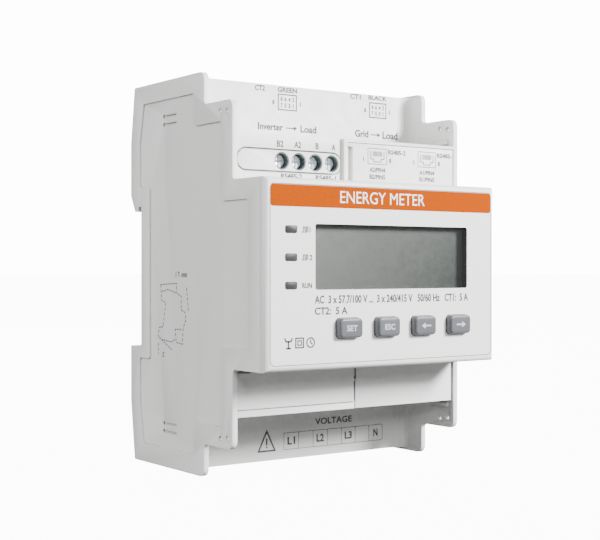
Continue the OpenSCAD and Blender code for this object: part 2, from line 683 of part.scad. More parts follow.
module data_busbars() for (i = [0:3]) place_data(i) busbar(data_leg);
module voltage_busbars() for (i = [0:3]) place_volt(i) busbar(volt_leg);

// ---- Data sockets ----

mouth_w = 11.8;
mouth_d = 8.2;
mouth_y = jack_y[0] + 3.2;

module data_jacks() color("black") for (x = jack_xs)
    difference() {
        slab(about(x, jack_w / 2), jack_y, jack_z);
        slab(about(x, mouth_w / 2), [mouth_y, mouth_y + mouth_d], [jack_z[1] - 15, jack_z[1] + eps]);
        slab(about(x, 3), [mouth_y - 1.9, mouth_y + 0.5], [jack_z[1] - 12, jack_z[1] + eps]);
    }

module jack_contacts() color("gold") for (x = jack_xs, i = [0:7])
    slab(about(x + (i - 3.5) * 1.02, 0.25), about(mouth_y + mouth_d - 0.65, 0.55),
        [jack_z[1] - 14.9, jack_z[1] - 4]);

module comms_cover() color("whitesmoke") difference() {
    left = comms_x[0] + fit;
    right = inner_x - fit;
    low = block_z + fit;
    high = shelf_z - ledge - fit;
    union() {
        slab([left, right], comms_cover_y, [low, high]);
        for (x = [left + 4, right - 6])
            slab([x, x + 2], [comms_cover_y[1] - 0.1, comms_cover_y[1] + 1.3], [low + 1, high - 1]);
    }
    slab([left - eps, left + 1.6], [step2_y - eps, step2_y + 1.2], [low - eps, high - 1]);
}

// ---- Current transformer sockets ----

module ct_socket(i) difference() {
    slab(about(ct_xs[i], ct_w / 2), ct_y, ct_z);
    slab(about(ct_xs[i], ct_w / 2 - 1), ct_y + [1, -1], [ct_z[0] + 2.5, ct_z[1] + eps]);
    slab(about(ct_xs[i], 2), [ct_y[1] - 1.5, ct_y[1] - 0.4], [ct_z[0] + 5, ct_z[1] + eps]);
    for (c = [0:3], r = [-1, 1])
        slab(about(ct_xs[i] + (c - 1.5) * ct_pitch, 0.37), about((ct_y[0] + ct_y[1]) / 2 + r * 1.5, 0.37),
            [ct_z[0] - eps, ct_z[0] + 3]);
}
module ct_socket_green() color("seagreen") ct_socket(0);
module ct_socket_black() color("black") ct_socket(1);

module ct_pins() color("gold") for (i = [0, 1], c = [0:3], r = [-1, 1]) {
    x = about(ct_xs[i] + (c - 1.5) * ct_pitch, 0.32);
    y = (ct_y[0] + ct_y[1]) / 2 + r * 1.5;
    z = ct_z[0] - 1 - (r + 1) * 0.8;
    union() {
        slab(x, about(y, 0.32), [z, ct_z[1] - 3]);
        slab(x, [main_y[1] + 0.02, y + 0.32], [z, z + 0.64]);
    }
}

// ---- Terminal flaps ----

// The flap's free part, below the middle rib, reaches closer to its neighbour
module flap(x, reach, lip) color("gainsboro") union() {
    slab(x, flap_y, [flap_low, flap_top]);
    slab(reach, flap_y, [flap_low, hinge_z - 1.7]);
    rod_x(hinge_r, x, hinge_y, hinge_z);
    ends = x[0] < 0 ? [pin_len, rib_pin] : [rib_pin, pin_len];
    rod_x(pin_r, [x[0] - ends[0], x[1] + ends[1]], hinge_y, hinge_z);
    if (lip)
        slab([x[0], x[1] - 0.4], [flap_y[0] - 0.5, flap_y[0] + 0.2], [flap_low, flap_low + 1.5]);
}
module left_terminal_flap()
    flap([-inner_x + fit, rib_x[0] - rib_gap], [-inner_x + fit, seam_x - 0.15], true);
module right_terminal_flap()
    flap([rib_x[1] + rib_gap, inner_x - fit], [seam_x + 0.15, inner_x - fit], false);

// ---- Parts on the main board ----

module power_transformer() color("goldenrod") translate([-16, main_y[1] + 0.05, -18]) {
    slab([-9, 9], [0, 2.5], [-8, 8]);
    difference() {
        slab([-8, 8], [2.5, 14.5], [-7, 7]);
        slab([-5, 5], [5, 12], [-8, 8]);
    }
    slab([-5.5, 5.5], [4.5, 12.5], [-6.3, 6.3]);
}
module capacitors() color("midnightblue") for (p = [[8, -22, 5, 13], [20, -22, 5, 13], [14, -8, 4, 11]])
    rod_y(p[2], p[0], [main_y[1] + 0.05, main_y[1] + p[3]], p[1]);
module varistors() color("royalblue") for (x = [-4, 5, 14])
    rod_x(4.5, about(x, 1.8), main_y[1] + 5.2, 20);
module backup_battery() color("silver")
    rod_y(6.2, 21, [main_y[1] + 0.05, main_y[1] + 5.4], 6);
module board_chips() color("black")
    for (p = [[-22, 6, 10, 10], [-6, 8, 7, 10], [12, -14, 8, 6], [-24, -14, 6, 8], [22, -12, 9, 7]])
        slab(about(p[0], p[2] / 2), [main_y[0] - 1.5, main_y[0] - 0.05], about(p[1], p[3] / 2));

main_housing();
back_cover();
front_bezel();
front_label();
lcd_window();
lcd_frame();
lcd_glass();
lcd_backlight();
indicator_lenses();
indicator_leds();
key(0);  // set_key
key(1);  // escape_key
key(2);  // left_key
key(3);  // right_key
plunger(0);  // set_plunger
plunger(1);  // escape_plunger
plunger(2);  // left_plunger
plunger(3);  // right_plunger
key_switches();
display_board();
main_board();
comms_board();
board_headers();
board_screws();
housing_screws();
voltage_terminal_block();
voltage_busbars();
for (i = [0:3]) place_volt(i) clamp_screw();
for (i = [0:3]) place_volt(i) clamp_cage();
data_terminal_block();
data_busbars();
for (i = [0:3]) place_data(i) clamp_screw();
for (i = [0:3]) place_data(i) clamp_cage();
data_jacks();
jack_contacts();
comms_cover();
ct_socket_green();
ct_socket_black();
ct_pins();
left_terminal_flap();
right_terminal_flap();
rail_clip();
clip_spring();
power_transformer();
capacitors();
varistors();
board_chips();
backup_battery();
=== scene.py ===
import json
import math

import bmesh
import bpy
import numpy as np
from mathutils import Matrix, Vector


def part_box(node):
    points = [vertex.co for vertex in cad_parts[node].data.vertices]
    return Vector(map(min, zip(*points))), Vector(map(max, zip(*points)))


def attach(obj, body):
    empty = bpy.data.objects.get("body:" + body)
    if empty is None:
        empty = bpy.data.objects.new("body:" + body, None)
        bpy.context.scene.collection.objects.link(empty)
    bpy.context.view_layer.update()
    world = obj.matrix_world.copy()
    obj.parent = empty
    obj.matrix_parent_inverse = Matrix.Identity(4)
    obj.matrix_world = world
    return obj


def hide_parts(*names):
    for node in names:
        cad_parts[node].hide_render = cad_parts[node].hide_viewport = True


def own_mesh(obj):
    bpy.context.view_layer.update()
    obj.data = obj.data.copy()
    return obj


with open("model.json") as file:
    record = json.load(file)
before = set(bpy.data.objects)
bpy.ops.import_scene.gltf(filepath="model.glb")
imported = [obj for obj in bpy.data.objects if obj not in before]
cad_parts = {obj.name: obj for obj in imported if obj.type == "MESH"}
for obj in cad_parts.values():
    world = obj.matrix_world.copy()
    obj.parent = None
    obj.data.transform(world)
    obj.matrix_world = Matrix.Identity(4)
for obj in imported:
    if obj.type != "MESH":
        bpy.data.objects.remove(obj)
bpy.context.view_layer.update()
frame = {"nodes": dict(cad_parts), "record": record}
mm = 0.001
record = frame["record"]


def nodeBox(name):
    # lowest and highest corner of a CAD node, in millimetres
    low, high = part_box(name)
    return np.array(low) / mm, np.array(high) / mm


# materials
print("materials")


def newMaterial(name):
    # a material with only its shader and output, ready for more nodes
    material = bpy.data.materials.new(name)
    material.use_nodes = True
    tree = material.node_tree
    shader = tree.nodes["Principled BSDF"]
    return material, tree, shader


def addNoise(tree, place, scale, detail=3.0, stretch=None):
    # noise on Object coordinates; scale is in waves per millimetre
    noise = tree.nodes.new("ShaderNodeTexNoise")
    noise.inputs["Scale"].default_value = scale / mm
    noise.inputs["Detail"].default_value = detail
    if stretch is None:
        tree.links.new(place, noise.inputs["Vector"])
    else:
        mapping = tree.nodes.new("ShaderNodeMapping")
        mapping.inputs["Scale"].default_value = stretch
        tree.links.new(place, mapping.inputs["Vector"])
        tree.links.new(mapping.outputs["Vector"], noise.inputs["Vector"])
    return noise.outputs["Fac"]


def spread(tree, source, low, high):
    # the noise's middle part stretched to run from low to high
    remap = tree.nodes.new("ShaderNodeMapRange")
    remap.inputs["From Min"].default_value = 0.3
    remap.inputs["From Max"].default_value = 0.7
    remap.inputs["To Min"].default_value = low
    remap.inputs["To Max"].default_value = high
    tree.links.new(source, remap.inputs["Value"])
    return remap.outputs["Result"]


def blendColours(tree, factor, first, second):
    mix = tree.nodes.new("ShaderNodeMix")
    mix.data_type = "RGBA"
    for socket, colour in (("A", first), ("B", second)):
        target = [s for s in mix.inputs if s.name == socket and s.type == "RGBA"][0]
        if isinstance(colour, bpy.types.NodeSocket):
            tree.links.new(colour, target)
        else:
            target.default_value = (*colour, 1.0)
    tree.links.new(factor, mix.inputs["Factor"])
    return [s for s in mix.outputs if s.type == "RGBA"][0]


def addBump(tree, shader, height, depth, strength=1.0, under=None):
    # depth is in millimetres
    bump = tree.nodes.new("ShaderNodeBump")
    bump.inputs["Distance"].default_value = depth * mm
    bump.inputs["Strength"].default_value = strength
    tree.links.new(height, bump.inputs["Height"])
    if under is not None:
        tree.links.new(under, bump.inputs["Normal"])
    tree.links.new(bump.outputs["Normal"], shader.inputs["Normal"])
    return bump.outputs["Normal"]


def settledDust(tree, colour, amount):
    # painted shade: joints and grooves are drawn a little darker than the open faces beside them
    closeness = tree.nodes.new("ShaderNodeAmbientOcclusion")
    closeness.samples = 6
    closeness.inputs["Distance"].default_value = 1.1 * mm
    remap = tree.nodes.new("ShaderNodeMapRange")
    remap.inputs["From Min"].default_value = 0.25
    remap.inputs["From Max"].default_value = 0.85
    remap.inputs["To Min"].default_value = amount
    remap.inputs["To Max"].default_value = 0.0
    tree.links.new(closeness.outputs["AO"], remap.inputs["Value"])
    return blendColours(tree, remap.outputs["Result"], colour, (0.02, 0.02, 0.02))


def rubbedEdge(tree, colour, lift):
    # outer edges are drawn a little lighter
    nearness = tree.nodes.new("ShaderNodeAmbientOcclusion")
    nearness.samples = 4
    nearness.inside = True
    nearness.inputs["Distance"].default_value = 0.35 * mm
    remap = tree.nodes.new("ShaderNodeMapRange")
    remap.inputs["From Min"].default_value = 0.75
    remap.inputs["From Max"].default_value = 0.35
    remap.inputs["To Max"].default_value = lift
    tree.links.new(nearness.outputs["AO"], remap.inputs["Value"])
    return blendColours(tree, remap.outputs["Result"], colour, (1.0, 1.0, 0.99))


# the first value lightens outer edges, the second paints shade into creases
edgeAndCreaseTone = {"edgeLift": 0.12, "creaseShade": 0.72}


def mouldedPlastic(name, look):
    # spark-eroded mould grain over slow flow marks, with faint cloudiness in the colour
    material, tree, shader = newMaterial(name)
    place = tree.nodes.new("ShaderNodeTexCoord").outputs["Object"]
    colour = np.array(look["colour"])
    cloud = spread(tree, addNoise(tree, place, 0.045, 4.0), 0.0, 1.0)
    speck = spread(tree, addNoise(tree, place, 2.2, 2.0), 0.0, 1.0)
    paler = np.minimum(colour * (1 + look["cloud"]), 1)
    palest = np.minimum(colour * (1 + 1.5 * look["cloud"]), 1)
    broad = blendColours(tree, cloud, colour * (1 - look["cloud"]), paler)
    fine = blendColours(tree, speck, broad, palest)
    edgeLightened = rubbedEdge(tree, fine, edgeAndCreaseTone["edgeLift"])
    # painted shade in joints and grooves goes over the colour last
    tree.links.new(settledDust(tree, edgeLightened, edgeAndCreaseTone["creaseShade"]), shader.inputs["Base Color"])
    grain = addNoise(tree, place, look["grain"], 2.0)
    flow = addNoise(tree, place, 0.12, 2.0, (1.0, 1.0, 0.35))
    first = addBump(tree, shader, flow, look["flowDepth"])
    addBump(tree, shader, grain, look["grainDepth"], 1.0, first)
    sheen = spread(tree, addNoise(tree, place, 0.3, 3.0), look["rough"] - 0.05, look["rough"] + 0.05)
    tree.links.new(sheen, shader.inputs["Roughness"])
    shader.inputs["Specular IOR Level"].default_value = look.get("specular", 0.42)
    shader.inputs["Coat Weight"].default_value = look.get("coat", 0.0)
    shader.inputs["Coat Roughness"].default_value = 0.25
    return material


def metal(name, look):
    # drawn or plated metal: fine streaks along one direction, with duller patches
    material, tree, shader = newMaterial(name)
    place = tree.nodes.new("ShaderNodeTexCoord").outputs["Object"]
    colour = np.array(look["colour"])
    dullness = spread(tree, addNoise(tree, place, 0.5, 4.0), 0.0, 1.0)
    tone = blendColours(tree, dullness, colour * 0.82, np.minimum(colour * 1.08, 1))
    tree.links.new(tone, shader.inputs["Base Color"])
    streak = addNoise(tree, place, look["streak"], 3.0, look.get("stretch", (1.0, 0.08, 1.0)))
    addBump(tree, shader, streak, look["depth"])
    sheen = spread(tree, dullness, look["rough"] - 0.06, look["rough"] + 0.1)
    tree.links.new(sheen, shader.inputs["Roughness"])
    shader.inputs["Metallic"].default_value = look.get("metallic", 1.0)
    return material


# grain is in waves per millimetre, and the depths are in millimetres
casingLook = {"colour": (0.80, 0.798, 0.785), "cloud": 0.012, "grain": 7.0, "grainDepth": 0.012,
              "flowDepth": 0.02, "rough": 0.46}
looks = {
    "casingPlastic": casingLook,
    "bezelPlastic": {**casingLook, "colour": (0.82, 0.818, 0.805), "grainDepth": 0.006, "rough": 0.38},
    "coverPlastic": {**casingLook, "colour": (0.81, 0.808, 0.795), "grainDepth": 0.008, "rough": 0.42},
    "keyPlastic": {"colour": (0.095, 0.098, 0.110), "cloud": 0.03, "grain": 9.0, "grainDepth": 0.006,
                   "flowDepth": 0.01, "rough": 0.36, "specular": 0.5},
    "blackPlastic": {"colour": (0.018, 0.019, 0.02), "cloud": 0.1, "grain": 6.0, "grainDepth": 0.01,
                     "flowDepth": 0.01, "rough": 0.5},
    "greenPlastic": {"colour": (0.03, 0.26, 0.10), "cloud": 0.05, "grain": 6.0, "grainDepth": 0.01,
                     "flowDepth": 0.01, "rough": 0.42},
    "clipPlastic": {"colour": (0.045, 0.048, 0.052), "cloud": 0.08, "grain": 6.0, "grainDepth": 0.014,
                    "flowDepth": 0.02, "rough": 0.48},
    "terminalPlastic": {"colour": (0.022, 0.045, 0.05), "cloud": 0.02, "grain": 6.0, "grainDepth": 0.01,
                        "flowDepth": 0.01, "rough": 0.45},
    "lensPlastic": {"colour": (0.028, 0.030, 0.033), "cloud": 0.08, "grain": 3.0, "grainDepth": 0.003,
                    "flowDepth": 0.005, "rough": 0.42, "specular": 0.25},
    "plungerPlastic": {"colour": (0.02, 0.02, 0.022), "cloud": 0.05, "grain": 6.0, "grainDepth": 0.01,
                       "flowDepth": 0.01, "rough": 0.45},
    "ivoryPlastic": {"colour": (0.78, 0.78, 0.70), "cloud": 0.02, "grain": 6.0, "grainDepth": 0.008,
                     "flowDepth": 0.01, "rough": 0.5},
    "coreLaminate": {"colour": (0.24, 0.17, 0.06), "cloud": 0.2, "grain": 1.2, "grainDepth": 0.05,
                     "flowDepth": 0.02, "rough": 0.55},
    "capacitorSleeve": {"colour": (0.015, 0.03, 0.12), "cloud": 0.1, "grain": 1.0, "grainDepth": 0.01,
                        "flowDepth": 0.03, "rough": 0.3, "coat": 0.3},
    "varistorCoat": {"colour": (0.02, 0.09, 0.34), "cloud": 0.08, "grain": 1.5, "grainDepth": 0.02,
                     "flowDepth": 0.03, "rough": 0.28, "coat": 0.3},
    "chipEpoxy": {"colour": (0.02, 0.02, 0.022), "cloud": 0.1, "grain": 8.0, "grainDepth": 0.012,
                  "flowDepth": 0.01, "rough": 0.6},
}
finishes = {name: mouldedPlastic(name, look) for name, look in looks.items()}
metals = {
    "zincSteel": {"colour": (0.80, 0.86, 0.87), "streak": 5.0, "depth": 0.01, "metallic": 0.45,
                  "rough": 0.38, "stretch": (1.0, 1.0, 1.0)},
    "switchSteel": {"colour": (0.62, 0.62, 0.61), "streak": 6.0, "depth": 0.006, "rough": 0.34},
    "springSteel": {"colour": (0.55, 0.55, 0.56), "streak": 8.0, "depth": 0.004, "rough": 0.28,
                    "stretch": (1.0, 1.0, 0.1)},
    "platedBrass": {"colour": (0.68, 0.56, 0.30), "streak": 6.0, "depth": 0.006, "rough": 0.27},
    "goldContact": {"colour": (0.86, 0.62, 0.24), "streak": 8.0, "depth": 0.003, "rough": 0.2,
                    "stretch": (1.0, 1.0, 0.1)},
    "batterySteel": {"colour": (0.60, 0.60, 0.59), "streak": 5.0, "depth": 0.005, "rough": 0.25,
                     "stretch": (0.1, 1.0, 1.0)},
}
finishes.update({name: metal(name, look) for name, look in metals.items()})

# painted shade for the display's foot and head, painted light for its left
displayLightAndShade = {"foot": (0.008, 0.013, 0.010), "head": (0.034, 0.040, 0.035), "left": (0.100, 0.106, 0.098)}


def displayGlass():
    # grey-green display with painted light and shade, lighter towards its left and upper edges, with faint
    # clouding
    material, tree, shader = newMaterial("displayGlass")
    place = tree.nodes.new("ShaderNodeTexCoord").outputs["Object"]
    split = tree.nodes.new("ShaderNodeSeparateXYZ")
    tree.links.new(place, split.inputs["Vector"])
    low, high = nodeBox("lcd_glass")
    rise = tree.nodes.new("ShaderNodeMapRange")
    rise.inputs["From Min"].default_value = low[2] * mm
    rise.inputs["From Max"].default_value = high[2] * mm
    rise.interpolation_type = "SMOOTHSTEP"
    tree.links.new(split.outputs["Z"], rise.inputs["Value"])
    across = tree.nodes.new("ShaderNodeMapRange")
    across.inputs["From Min"].default_value = low[0] * mm
    across.inputs["From Max"].default_value = high[0] * mm
    tree.links.new(split.outputs["X"], across.inputs["Value"])
    shade = blendColours(tree, rise.outputs["Result"], displayLightAndShade["foot"], displayLightAndShade["head"])
    lit = blendColours(tree, across.outputs["Result"], displayLightAndShade["left"], shade)
    cloud = blendColours(tree, spread(tree, addNoise(tree, place, 0.06, 2.0), 0.0, 0.12), lit, shade)
    tree.links.new(cloud, shader.inputs["Base Color"])
    tree.links.new(spread(tree, addNoise(tree, place, 0.5, 2.0), 0.30, 0.36), shader.inputs["Roughness"])
    addBump(tree, shader, addNoise(tree, place, 3.0, 2.0), 0.0006)
    return material


paneLook = {"tint": (0.25, 0.26, 0.26, 1), "cover": 0.03, "index": 1.49}


def clearPane():
    # polished clear sheet with the faintest waviness and fine wipe marks
    material, tree, shader = newMaterial("clearPane")
    place = tree.nodes.new("ShaderNodeTexCoord").outputs["Object"]
    shader.inputs["Base Color"].default_value = paneLook["tint"]
    shader.inputs["Alpha"].default_value = paneLook["cover"]
    shader.inputs["IOR"].default_value = paneLook["index"]
    wipes = spread(tree, addNoise(tree, place, 0.9, 3.0, (1.0, 1.0, 0.15)), 0.03, 0.10)
    tree.links.new(wipes, shader.inputs["Roughness"])
    addBump(tree, shader, addNoise(tree, place, 0.05, 1.0), 0.01)
    return material


boardLook = {"pitch": 0.35, "trackEdge": 0.42, "bare": (0.012, 0.085, 0.03), "track": (0.02, 0.15, 0.05),
             "cloud": (0.03, 0.12, 0.05)}


def solderResist():
    # green lacquer over a board, with paler raised shapes where the copper tracks lie beneath
    material, tree, shader = newMaterial("solderResist")
    place = tree.nodes.new("ShaderNodeTexCoord").outputs["Object"]
    cells = tree.nodes.new("ShaderNodeTexVoronoi")
    cells.distance = "CHEBYCHEV"
    cells.inputs["Scale"].default_value = boardLook["pitch"] / mm
    tree.links.new(place, cells.inputs["Vector"])
    tracks = tree.nodes.new("ShaderNodeMath")
    tracks.operation = "GREATER_THAN"
    tracks.inputs[1].default_value = boardLook["trackEdge"]
    tree.links.new(cells.outputs["Distance"], tracks.inputs[0])
    board = blendColours(tree, tracks.outputs["Value"], boardLook["bare"], boardLook["track"])
    cloud = blendColours(tree, spread(tree, addNoise(tree, place, 1.0), 0.0, 0.3), board, boardLook["cloud"])
    tree.links.new(cloud, shader.inputs["Base Color"])
    addBump(tree, shader, tracks.outputs["Value"], 0.03)
    shader.inputs["Roughness"].default_value = 0.3
    shader.inputs["Coat Weight"].default_value = 0.3
    return material


def ink(name, colour, rough, specular):
    # screen-printed ink: a little uneven where the mesh left it thinner
    material, tree, shader = newMaterial(name)
    place = tree.nodes.new("ShaderNodeTexCoord").outputs["Object"]
    thin = spread(tree, addNoise(tree, place, 1.6, 3.0), 0.0, 1.0)
    colour = np.array(colour)
    tone = blendColours(tree, thin, colour, np.minimum(colour * 1.12, 1))
    shader.inputs["Specular IOR Level"].default_value = specular
    tree.links.new(tone, shader.inputs["Base Color"])
    sheen = spread(tree, addNoise(tree, place, 6.0, 2.0), rough - 0.06, rough + 0.06)
    tree.links.new(sheen, shader.inputs["Roughness"])
    addBump(tree, shader, addNoise(tree, place, 9.0, 2.0), 0.003)
    return material


finishes["displayGlass"] = displayGlass()
finishes["clearPane"] = clearPane()
finishes["solderResist"] = solderResist()
inks = {
    # name: colour, roughness and specular level
    "labelFilm": ((0.80, 0.795, 0.782), 0.42, 0.4),
    "bandInk": ((0.34, 0.055, 0.0), 0.8, 0.0),
    "greyInk": ((0.075, 0.075, 0.078), 0.5, 0.12),
    "gapShade": ((0.14, 0.14, 0.14), 0.6, 0.12),
    "whiteInk": ((0.92, 0.92, 0.90), 0.45, 0.12),
    "keyInk": ((0.46, 0.46, 0.47), 0.5, 0.12),
    "mouldMarkShade": ((0.15, 0.15, 0.15), 0.6, 0.12),
}
finishes.update({name: ink(name, *look) for name, look in inks.items()})

# CAD nodes that keep their shape
print("finishes of the frame's own nodes")
plainNodes = {
    "zincSteel": ["board_screws"],
    "switchSteel": ["key_switches"],
    "platedBrass": ["voltage_busbars", "data_busbars"],
    "solderResist": ["display_board", "main_board", "comms_board"],
    "plungerPlastic": ["set_plunger", "escape_plunger", "left_plunger", "right_plunger"],
    "ivoryPlastic": ["lcd_backlight", "indicator_leds"],
    "displayGlass": ["lcd_glass"],
    "clearPane": ["lcd_window"],
    "labelFilm": ["front_label"],
    "chipEpoxy": ["board_chips"],
    "batterySteel": ["backup_battery"],
    "coreLaminate": ["power_transformer"],
    "capacitorSleeve": ["capacitors"],
    "varistorCoat": ["varistors"],
    "goldContact": ["ct_pins", "jack_contacts"],
    "springSteel": ["clip_spring"],
    "blackPlastic": ["board_headers"],
}
for finish, names in plainNodes.items():
    for name in names:
        for materialSlot in frame["nodes"][name].material_slots:
            materialSlot.material = finishes[finish]

# the clip's spring stands on a fixed stop; it gets a mesh of its own
print("clip spring")
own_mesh(frame["nodes"]["clip_spring"])

# moulded shells with softened edges
print("moulded shells")


def bodyOf(node):
    return next(body for body, nodes in record["behaviour"]["bodies"].items() if node in nodes)


def finishPiece(piece, finish, body):
    piece.data.materials.clear()
    piece.data.materials.append(finishes[finish])
    bpy.context.scene.collection.objects.link(piece)
    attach(piece, body)
    return piece


# distances in millimetres, angles in degrees
shellMaking = {"merge": 0.002, "flat": 0.4, "sharp": 35.0, "segments": 2}


def softened(node, finish, edge):
    # a copy of the CAD node, merged to clean flat faces, whose sharp edges get a small round
    mesh = bpy.data.meshes.new(node + "_shell")
    work = bmesh.new()
    work.from_mesh(frame["nodes"][node].data)
    bmesh.ops.remove_doubles(work, verts=work.verts, dist=shellMaking["merge"] * mm)
    bmesh.ops.dissolve_limit(work, angle_limit=math.radians(shellMaking["flat"]), verts=work.verts,
                             edges=work.edges, delimit={"NORMAL"})
    for face in work.faces:
        face.smooth = True
    work.to_mesh(mesh)
    work.free()
    piece = bpy.data.objects.new(node + "_shell", mesh)
    finishPiece(piece, finish, bodyOf(node))
    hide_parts(node)
    bevel = piece.modifiers.new("edge", "BEVEL")
    bevel.width = edge * mm
    bevel.segments = shellMaking["segments"]
    bevel.limit_method = "ANGLE"
    bevel.angle_limit = math.radians(shellMaking["sharp"])
    bevel.harden_normals = True
    bevel.use_clamp_overlap = True


# node: its finish and the round on its edges, in millimetres
shells = {
    "main_housing": ("casingPlastic", 0.22),
    "back_cover": ("casingPlastic", 0.2),
    "front_bezel": ("bezelPlastic", 0.12),
    "comms_cover": ("coverPlastic", 0.18),
    "left_terminal_flap": ("coverPlastic", 0.1),
    "right_terminal_flap": ("coverPlastic", 0.1),
    "rail_clip": ("clipPlastic", 0.2),
    "lcd_frame": ("blackPlastic", 0.08),
    "indicator_lenses": ("lensPlastic", 0.12),
    "data_terminal_block": ("terminalPlastic", 0.1),
    "voltage_terminal_block": ("terminalPlastic", 0.12),
    "data_jacks": ("blackPlastic", 0.12),
    "ct_socket_green": ("greenPlastic", 0.12),
    "ct_socket_black": ("blackPlastic", 0.12),
    "housing_screws": ("zincSteel", 0.1),
}
for number in (1, 2, 3, 4):
    shells[f"data_screw_{number}"] = ("zincSteel", 0.12)
    shells[f"voltage_screw_{number}"] = ("zincSteel", 0.14)
    shells[f"data_cage_{number}"] = ("platedBrass", 0.1)
    shells[f"voltage_cage_{number}"] = ("platedBrass", 0.12)
for node, (finish, edge) in shells.items():
    softened(node, finish, edge)

# keys, each a surface made from rings
print("keys")


def roundedRing(halfWidth, halfHeight, radius, count=48):
    # a rectangle's outline with round corners: each point is its corner's centre plus the
    # radius along the angle, and the angle runs once round
    angle = (np.arange(count) + 0.5) * 2 * np.pi / count
    cornerX = np.sign(np.cos(angle)) * (halfWidth - radius)
    cornerZ = np.sign(np.sin(angle)) * (halfHeight - radius)
    return np.stack([cornerX + radius * np.cos(angle), cornerZ + radius * np.sin(angle)], -1)


def ringSolid(name, rings):
    # a skin from ring to ring, closed by a face at each end; rings is rings x points x 3, in millimetres
    rows, cols = rings.shape[:2]
    row, col = np.meshgrid(np.arange(rows - 1), np.arange(cols), indexing="ij")
    after = (col + 1) % cols
    here, above = row * cols, (row + 1) * cols
    faces = np.stack([here + col, here + after, above + after, above + col], -1).reshape(-1, 4).tolist()
    faces += [list(range(cols))[::-1], [(rows - 1) * cols + i for i in range(cols)]]
    mesh = bpy.data.meshes.new(name)
    mesh.from_pydata((rings.reshape(-1, 3) * mm).tolist(), [], faces)
    work = bmesh.new()
    work.from_mesh(mesh)
    bmesh.ops.recalc_face_normals(work, faces=work.faces)
    for face in work.faces:
        face.smooth = True
    work.to_mesh(mesh)
    work.free()
    mesh.set_sharp_from_angle(angle=math.radians(38))
    return bpy.data.objects.new(name, mesh)


keyCap = {
    # half width, half height, corner radius and y of each ring, from the stem to the crown
    "stem": [(1.7, 1.7, 1.7, -55.1), (1.7, 1.7, 1.7, -56.69), (1.9, 1.9, 1.8, -56.7)],
    "flange": [(4.25, 3.05, 1.1, -56.7), (4.4, 3.2, 1.2, -56.85), (4.4, 3.2, 1.2, -57.4),
               (4.25, 3.05, 1.1, -57.55)],
    "sides": [(3.62, 2.42, 0.9, -57.56), (3.6, 2.4, 0.9, -57.7), (3.6, 2.4, 0.9, -60.3)],
    "crown": [(3.55, 2.37, 0.9, -60.8), (3.42, 2.3, 0.88, -61.22), (3.3, 2.22, 0.86, -61.5),
              (3.12, 2.1, 0.82, -61.66), (2.85, 1.92, 0.78, -61.71), (2.3, 1.5, 0.7, -61.73),
              (1.2, 0.7, 0.5, -61.74)],
}
keyBodies = {"set_key": "set_button", "escape_key": "escape_button", "left_key": "left_button",
             "right_key": "right_button"}


def keyMiddle(node):
    low, high = nodeBox(node)
    return (low + high) / 2


def keyPiece(node):
    middle = keyMiddle(node)
    rings = []
    for halfWidth, halfHeight, radius, y in sum(keyCap.values(), []):
        flat = roundedRing(halfWidth, halfHeight, radius)
        rings.append(np.stack([flat[:, 0] + middle[0], np.full(len(flat), y), flat[:, 1] + middle[2]], -1))
    piece = ringSolid(node + "_cap", np.array(rings))
    finishPiece(piece, "keyPlastic", keyBodies[node])
    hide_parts(node)


for node in keyBodies:
    keyPiece(node)

# printed legends
print("printed legends")


def lettering(text, left, right, low, high, bold=0.028):
    # letters stretched to fill a box from left to right and low to high
    curve = bpy.data.curves.new("letters", "FONT")
    curve.body = text
    curve.resolution_u = 3
    curve.offset = bold
    holder = bpy.data.objects.new("letters", curve)
    mesh = bpy.data.meshes.new_from_object(holder)
    points = np.empty(len(mesh.vertices) * 3)
    mesh.vertices.foreach_get("co", points)
    points = points.reshape(-1, 3)[:, :2]
    faces = [list(face.vertices) for face in mesh.polygons]
    bpy.data.objects.remove(holder)
    bpy.data.meshes.remove(mesh)
    bpy.data.curves.remove(curve)
    least, most = points.min(0), points.max(0)
    size = np.array([right - left, high - low]) / (most - least)
    return (points - least) * size + np.array([left, low]), faces


def ribbon(points, width, closed=False):
    # a line of even width: every point moves half the width along its mitre, to both sides
    path = np.array(points, float)
    ahead = np.roll(path, -1, 0) - path
    behind = path - np.roll(path, 1, 0)
    if not closed:
        ahead[-1], behind[0] = behind[-1], ahead[0]
    ahead /= np.linalg.norm(ahead, axis=1)[:, None]
    behind /= np.linalg.norm(behind, axis=1)[:, None]
    across = np.stack([-(ahead + behind)[:, 1], (ahead + behind)[:, 0]], -1)
    across /= np.linalg.norm(across, axis=1)[:, None]
    square = np.abs(across[:, 1] * ahead[:, 0] - across[:, 0] * ahead[:, 1])
    reach = 0.5 * width / np.maximum(square, 0.35)  # the limit keeps sharp corners short
    offset = across * reach[:, None]
    sides = np.concatenate([path + offset, path - offset])
    count = len(path)
    here = np.arange(count if closed else count - 1)
    after = (here + 1) % count
    faces = np.stack([here, here + count, after + count, after], -1).tolist()
    return sides, faces


def dashes(points, width, dash, gap):
    # a line cut into dashes at even steps along it, each dash with its own short ribbon
    path = np.array(points, float)
    steps = np.linalg.norm(np.diff(path, axis=0), axis=1)
    along = np.concatenate([[0], np.cumsum(steps)])
    starts = np.arange(0, along[-1] - dash * 0.4, dash + gap)
    parts = []
    for start in starts:
        end = min(start + dash, along[-1])
        inner = along[(along > start + 0.02) & (along < end - 0.02)]
        places = np.concatenate([[start], inner, [end]])
        points = [np.interp(places, along, path[:, axis]) for axis in (0, 1)]
        parts.append(ribbon(np.stack(points, -1), width))
    return together(parts)


def frameLine(left, right, low, high, width):
    # the outline of a rectangle
    return ribbon([(left, low), (right, low), (right, high), (left, high)], width, True)


def patch(left, right, low, high, radius=0.01, count=32):
    # a filled rectangle with round corners
    flat = roundedRing((right - left) / 2, (high - low) / 2, radius, count)
    return flat + np.array([(left + right) / 2, (low + high) / 2]), [list(range(count))]


def together(parts):
    points, faces, start = [], [], 0
    for flat, its in parts:
        points.append(flat)
        faces += [[i + start for i in face] for face in its]
        start += len(flat)
    return np.concatenate(points), faces


